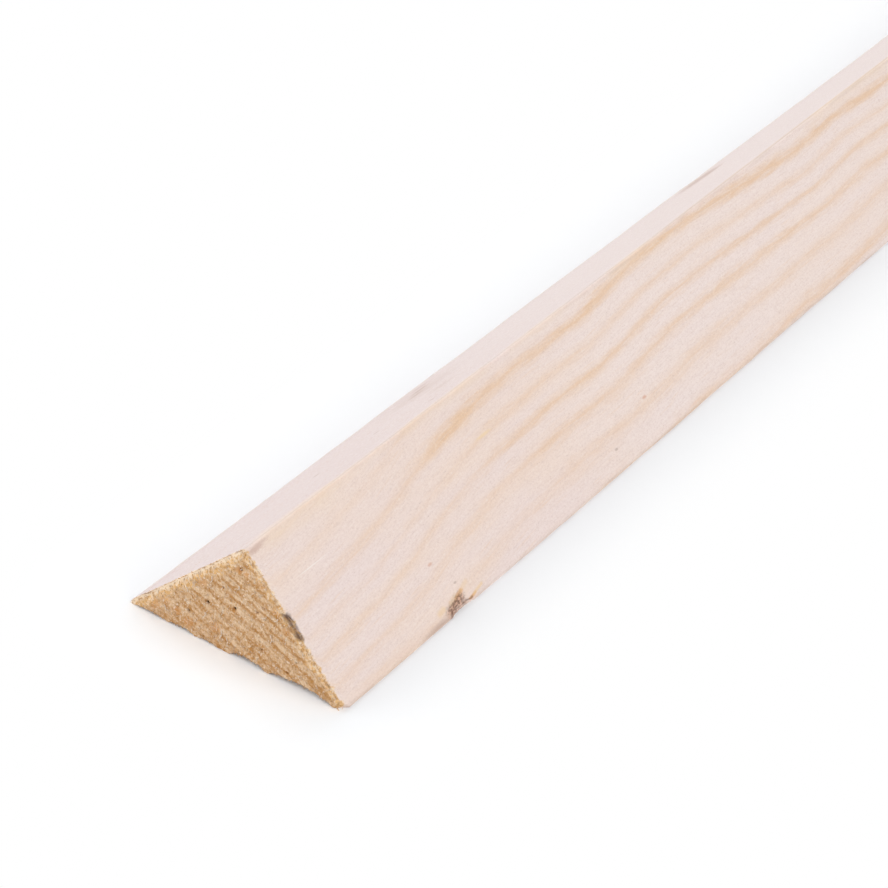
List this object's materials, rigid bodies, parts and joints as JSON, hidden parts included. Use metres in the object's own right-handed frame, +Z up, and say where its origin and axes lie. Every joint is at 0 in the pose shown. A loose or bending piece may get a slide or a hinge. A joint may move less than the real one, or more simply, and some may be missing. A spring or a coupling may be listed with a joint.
{
  "type": "triangular chamfer strip",
  "caption": "Triangular softwood strip with a right-angled section, set in the corner of a concrete form to leave a chamfered edge.",
  "frame": {"origin": "middle of the wide face, half way along the strip, on the surface that it lies on", "axes": "+X along the strip, from the sawn end with the broken-out lower edge to the plain end; +Z up through the ridge; the two leg faces look to +Y and -Y, both 45 degrees upwards"},
  "size_m": [1, 0.0344, 0.0175],
  "materials": {
    "softwood": "pale sawn and lightly planed spruce, matt, with golden end grain"
  },
  "bodies": {
    "root": {"chamfer_strip": "softwood"}
  },
  "joints": []
}
